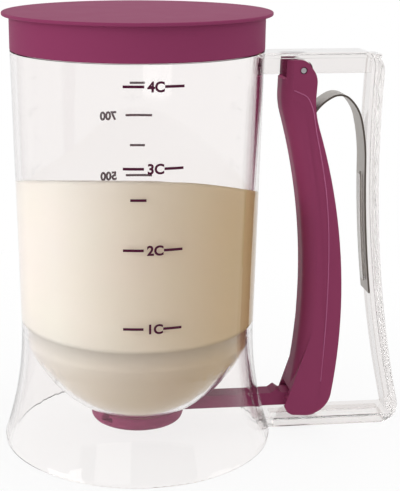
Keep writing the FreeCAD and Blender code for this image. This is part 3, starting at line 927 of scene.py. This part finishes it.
@dataclass
class PanelBead:
    """The fine raised line that borders the sunk panel on each side of the trigger; its lighter
    plum is a painted highlight along the panel's edge.
    """

    radius: float = 0.24 * MM
    depth: float = 8.46 * MM
    corners: int = 8
    path: tuple[tuple[float, float], ...] = (
        (64.0, 151.6), (69.0, 149.3), (71.1, 146.6), (72.7, 142.0), (74.1, 134.3), (75.7, 127.2),
        (77.8, 117.2), (79.5, 107.1), (80.8, 95.4), (81.5, 83.6), (81.8, 68.7), (81.7, 53.5),
        (81.2, 39.6), (80.6, 28.7), (80.4, 22.6))

    def smooth_path(self, pieces: int = 6) -> list[Vector]:
        """The bead's middle line as a Catmull-Rom curve through its points.

        Args:
            pieces: How many pieces each span is cut into.

        Returns:
            Points (x, z) along the curve.
        """
        points = [Vector(point) * MM for point in self.path]
        points = [points[0] * 2 - points[1], *points, points[-1] * 2 - points[-2]]
        curve = []
        for a, b, c, d in zip(points, points[1:], points[2:], points[3:]):
            for step in range(pieces):
                t = step / pieces
                curve.append(0.5 * (2 * b + (c - a) * t + (2 * a - 5 * b + 4 * c - d) * t ** 2
                                    + (3 * b - a - 3 * c + d) * t ** 3))
        return [*curve, points[-2]]

    def build(self, finish: bpy.types.Material) -> bpy.types.Object:
        """Makes both beads.

        Args:
            finish: The beads' material.

        Returns:
            Both beads as one piece, riding on the trigger.
        """
        curve = self.smooth_path()
        work = bmesh.new()
        for side in (-1, 1):
            rings = []
            for at, point in enumerate(curve):
                ahead = curve[min(at + 1, len(curve) - 1)] - curve[max(at - 1, 0)]
                across = Vector((-ahead.y, ahead.x)).normalized()
                ring = []
                for corner in range(self.corners):
                    angle = 2 * math.pi * corner / self.corners
                    place = point + across * (self.radius * math.cos(angle))
                    ring.append(work.verts.new((
                        place.x, side * (self.depth + self.radius * math.sin(angle)), place.y)))
                rings.append(ring)
            for first, second in zip(rings, rings[1:]):
                for corner in range(self.corners):
                    after = (corner + 1) % self.corners
                    work.faces.new((first[corner], first[after], second[after], second[corner]))
            work.faces.new(rings[0])
            work.faces.new(list(reversed(rings[-1])))
        bmesh.ops.recalc_face_normals(work, faces=work.faces)
        for face in work.faces:
            face.smooth = len(face.verts) < self.corners
        mesh = mesh_from(work, "trigger_panel_bead")
        mesh.materials.append(finish)
        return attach(new_object("trigger_panel_bead", mesh), "trigger")


@dataclass
class Dispenser:
    """The moulded and metal pieces that the CAD frame gives, dressed in their finishes."""

    nodes: dict[str, bpy.types.Object]
    finishes: Finishes
    spring_root: float = 98.0 * MM
    spring_tip: float = 78.0 * MM

    def dress(self, node: str, body: str, finish: bpy.types.Material,
              slot: Slot) -> bpy.types.Object:
        """Puts a smooth copy of a CAD node in its place.

        Args:
            node: The CAD node's name.
            body: The CAD body that it rides on.
            finish: Its material.
            slot: Its material slot; not used.

        Returns:
            The copy.
        """
        piece = merged_copy(self.nodes[node], f"{node}_skin")
        piece.data.materials.append(finish)
        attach(piece, body)
        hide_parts(node)
        log.info("%s: %d faces", piece.name, len(piece.data.polygons))
        return piece

    def build(self) -> None:
        """Dresses every piece."""
        look = self.finishes
        self.dress("jug_shell", "jug", look.clear, Slot.CLEAR)
        self.dress("hopper_bowl", "jug", look.bowl, Slot.CLEAR)
        self.dress("handle_frame", "jug", look.handle, Slot.CLEAR)
        self.dress("lid", "lid", look.lid, Slot.PLUM)
        self.dress("trigger", "trigger", look.plum, Slot.PLUM)
        self.dress("valve_slide", "valve", look.plum, Slot.PLUM)
        self.dress("valve_seal", "valve", look.seal, Slot.SEAL)
        self.dress("hinge_pin", "jug", look.pin, Slot.PIN)
        self.spring()

    def spring(self) -> None:
        """Dresses the leaf spring, which bends between the jug and the trigger on the real object;
        the copy keeps the node's shape and rides on no body.
        """
        piece = merged_copy(self.nodes["leaf_spring"], "leaf_spring_skin")
        piece.data.materials.append(self.finishes.spring)
        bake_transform(piece)
        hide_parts("leaf_spring")
        log.info("%s: %d faces", piece.name, len(piece.data.polygons))


def shown_rays(tree: Tree, path: bpy.types.Node) -> bpy.types.NodeSocket:
    """Marks the rays by which the camera sees a thing, straight, in gloss or through glass.

    Args:
        tree: The tree to add to.
        path: Its light path node.

    Returns:
        The socket that carries 1 for these rays and 0 for the others.
    """
    reflected = tree.add("ShaderNodeMath", operation="MAXIMUM")
    shown = tree.add("ShaderNodeMath", operation="MAXIMUM")
    tree.link(path.outputs["Is Glossy Ray"], reflected.inputs[0])
    tree.link(path.outputs["Is Transmission Ray"], reflected.inputs[1])
    tree.link(path.outputs["Is Camera Ray"], shown.inputs[0])
    tree.link(reflected.outputs["Value"], shown.inputs[1])
    return shown.outputs["Value"]


@dataclass
class Studio:
    """The pale floor, the soft lamps, the white surround and the camera."""

    floor_size: float = 6.0
    floor_drop: float = 0.2 * MM
    floor_grey: float = 0.8
    floor_roughness: float = 0.9
    near_white: float = 0.86
    fade_from: float = 0.06
    fade_to: float = 0.30
    fill: float = 0.62
    front_shade: float = 0.35
    front_half_angle: float = 50.0
    camera_distance: float = 0.497767
    camera_height: float = 0.224885
    camera_azimuth: float = -6.0
    yaw: float = -0.617
    pitch: float = 15.701
    roll: float = 0.147
    focal_pixels: float = 1210.81
    frame: tuple[int, int] = (400, 491)
    centre_column: float = 150.0
    sensor: float = 36.0
    clip: tuple[float, float] = (0.01, 50.0)
    lamp_aim: tuple[float, float, float] = (0.02, 0.0, 0.09)

    def camera(self) -> None:
        """Places the camera where the photograph was taken from."""
        azimuth = math.radians(self.camera_azimuth)
        heading = azimuth + math.radians(self.yaw)
        data = bpy.data.cameras.new("camera")
        long_side = max(self.frame)
        data.sensor_width = self.sensor
        data.lens = self.focal_pixels * data.sensor_width / long_side
        data.shift_x = (self.frame[0] / 2 - self.centre_column) / long_side
        data.clip_start, data.clip_end = self.clip
        camera = new_object("camera", data)
        turn = (Matrix.Rotation(heading, 4, "Z")
                @ Matrix.Rotation(math.radians(90 - self.pitch), 4, "X")
                @ Matrix.Rotation(math.radians(self.roll), 4, "Z"))
        place = Vector((math.sin(azimuth) * self.camera_distance,
                        -math.cos(azimuth) * self.camera_distance, self.camera_height))
        camera.matrix_world = Matrix.Translation(place) @ turn
        bpy.context.scene.camera = camera

    def floor(self) -> None:
        """Makes the floor, white to the camera but for the object's soft shadow."""
        half = self.floor_size / 2
        mesh = bpy.data.meshes.new("floor")
        mesh.from_pydata([(x, y, -self.floor_drop) for x, y in
                          ((-half, -half), (half, -half), (half, half), (-half, half))],
                         [], [(0, 1, 2, 3)])
        grey = (self.floor_grey, self.floor_grey, self.floor_grey)
        material, tree, shader = new_material("floor", grey)
        shader.inputs["Base Color"].default_value = (*grey, 1.0)
        shader.inputs["Roughness"].default_value = self.floor_roughness
        shader.inputs["Specular IOR Level"].default_value = 0.0
        output = material.node_tree.nodes["Material Output"]
        path = tree.add("ShaderNodeLightPath")
        share = tree.add("ShaderNodeMath", operation="MULTIPLY")
        place = tree.add("ShaderNodeTexCoord")
        reach = tree.add("ShaderNodeVectorMath", operation="LENGTH")
        fade = tree.add("ShaderNodeMapRange", interpolation_type="SMOOTHSTEP")
        fade.inputs["From Min"].default_value = self.fade_from
        fade.inputs["From Max"].default_value = self.fade_to
        fade.inputs["To Min"].default_value = self.near_white
        fade.inputs["To Max"].default_value = 1.0
        tree.link(place.outputs["Object"], reach.inputs[0])
        tree.link(reach.outputs["Value"], fade.inputs["Value"])
        tree.link(fade.outputs["Result"], share.inputs[1])
        white = tree.add("ShaderNodeEmission")
        mix = tree.add("ShaderNodeMixShader")
        tree.link(shown_rays(tree, path), share.inputs[0])
        tree.link(share.outputs["Value"], mix.inputs["Fac"])
        tree.link(shader.outputs["BSDF"], mix.inputs[1])
        tree.link(white.outputs["Emission"], mix.inputs[2])
        tree.link(mix.outputs["Shader"], output.inputs["Surface"])
        mesh.materials.append(material)
        new_object("floor", mesh)

    def surround(self) -> None:
        """Makes the world: white to the camera, in glass and in gloss, and a soft fill light."""
        world = bpy.data.worlds.new("surround")
        bpy.context.scene.world = world
        world.use_nodes = True
        tree = Tree(world.node_tree)
        fill = world.node_tree.nodes["Background"]
        fill.inputs["Color"].default_value = (1.0, 1.0, 1.0, 1.0)
        fill.inputs["Strength"].default_value = self.fill
        seen = tree.add("ShaderNodeBackground")
        seen.inputs["Color"].default_value = (1.0, 1.0, 1.0, 1.0)
        path = tree.add("ShaderNodeLightPath")
        mix = tree.add("ShaderNodeMixShader")
        tree.link(shown_rays(tree, path), mix.inputs["Fac"])
        tree.link(self.reflected_front(tree, path), seen.inputs["Strength"])
        tree.link(fill.outputs["Background"], mix.inputs[1])
        tree.link(seen.outputs["Background"], mix.inputs[2])
        tree.link(mix.outputs["Shader"], world.node_tree.nodes["World Output"].inputs["Surface"])

    def reflected_front(self, tree: Tree, path: bpy.types.Node) -> bpy.types.NodeSocket:
        """The surround's brightness, with a darker front between two white screens in gloss.

        Args:
            tree: The world's node tree.
            path: Its light path node.

        Returns:
            The socket that carries the brightness.
        """
        azimuth = math.radians(self.camera_azimuth)
        place = tree.add("ShaderNodeTexCoord")
        flat = tree.add("ShaderNodeVectorMath", operation="MULTIPLY")
        flat.inputs[1].default_value = (1.0, 1.0, 0.0)
        unit = tree.add("ShaderNodeVectorMath", operation="NORMALIZE")
        ahead = tree.add("ShaderNodeVectorMath", operation="DOT_PRODUCT")
        ahead.inputs[1].default_value = (math.sin(azimuth), -math.cos(azimuth), 0.0)
        front = tree.add("ShaderNodeMath", operation="GREATER_THAN")
        front.inputs[1].default_value = math.cos(math.radians(self.front_half_angle))
        gloss = tree.add("ShaderNodeMath", operation="MULTIPLY")
        strength = tree.add("ShaderNodeMath", operation="MULTIPLY_ADD")
        strength.inputs[1].default_value = self.front_shade - 1.0
        strength.inputs[2].default_value = 1.0
        tree.link(place.outputs["Generated"], flat.inputs[0])
        tree.link(flat.outputs["Vector"], unit.inputs[0])
        tree.link(unit.outputs["Vector"], ahead.inputs[0])
        tree.link(ahead.outputs["Value"], front.inputs[0])
        tree.link(front.outputs["Value"], gloss.inputs[0])
        tree.link(path.outputs["Is Glossy Ray"], gloss.inputs[1])
        tree.link(gloss.outputs["Value"], strength.inputs[0])
        return strength.outputs["Value"]

    def lamp(self, name: str, place: Sequence[float], size: float, power: float) -> None:
        """Makes one square soft lamp that points at the object's middle.

        Args:
            name: The lamp's name.
            place: Where it stands.
            size: Its side.
            power: Its power in watts.
        """
        data = bpy.data.lights.new(name, "AREA")
        data.size = size
        data.energy = power
        lamp = new_object(name, data)
        lamp.location = place
        aim = Vector(self.lamp_aim) - Vector(place)
        lamp.rotation_euler = aim.to_track_quat("-Z", "Y").to_euler()
        lamp.visible_glossy = False

    def build(self) -> None:
        """Makes the whole studio."""
        self.floor()
        self.surround()
        self.lamp("key_lamp", (-1.2, -0.45, 0.5), size=0.8, power=8.0)
        self.lamp("right_lamp", (1.2, -0.35, 0.6), size=0.8, power=4.2)
        self.lamp("low_lamp", (-0.5, -1.0, 0.10), size=0.6, power=2.0)
        self.lamp("top_lamp", (0.1, 0.1, 1.3), size=0.9, power=6.0)
        self.camera()
        bpy.context.scene.view_settings.view_transform = "Standard"


def main() -> None:
    """Builds the object's looks and the studio round them."""
    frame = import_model()
    finishes = Finishes()
    Dispenser(frame["nodes"], finishes).build()
    batter = Batter().build(finishes.batter)
    log.info("batter: %d faces", len(batter.data.polygons))
    scale = Scale().build(finishes.ink)
    log.info("printed scale: %d faces", len(scale.data.polygons))
    PanelBead().build(finishes.bead)
    Studio().build()


if __name__ == "__main__":
    main()
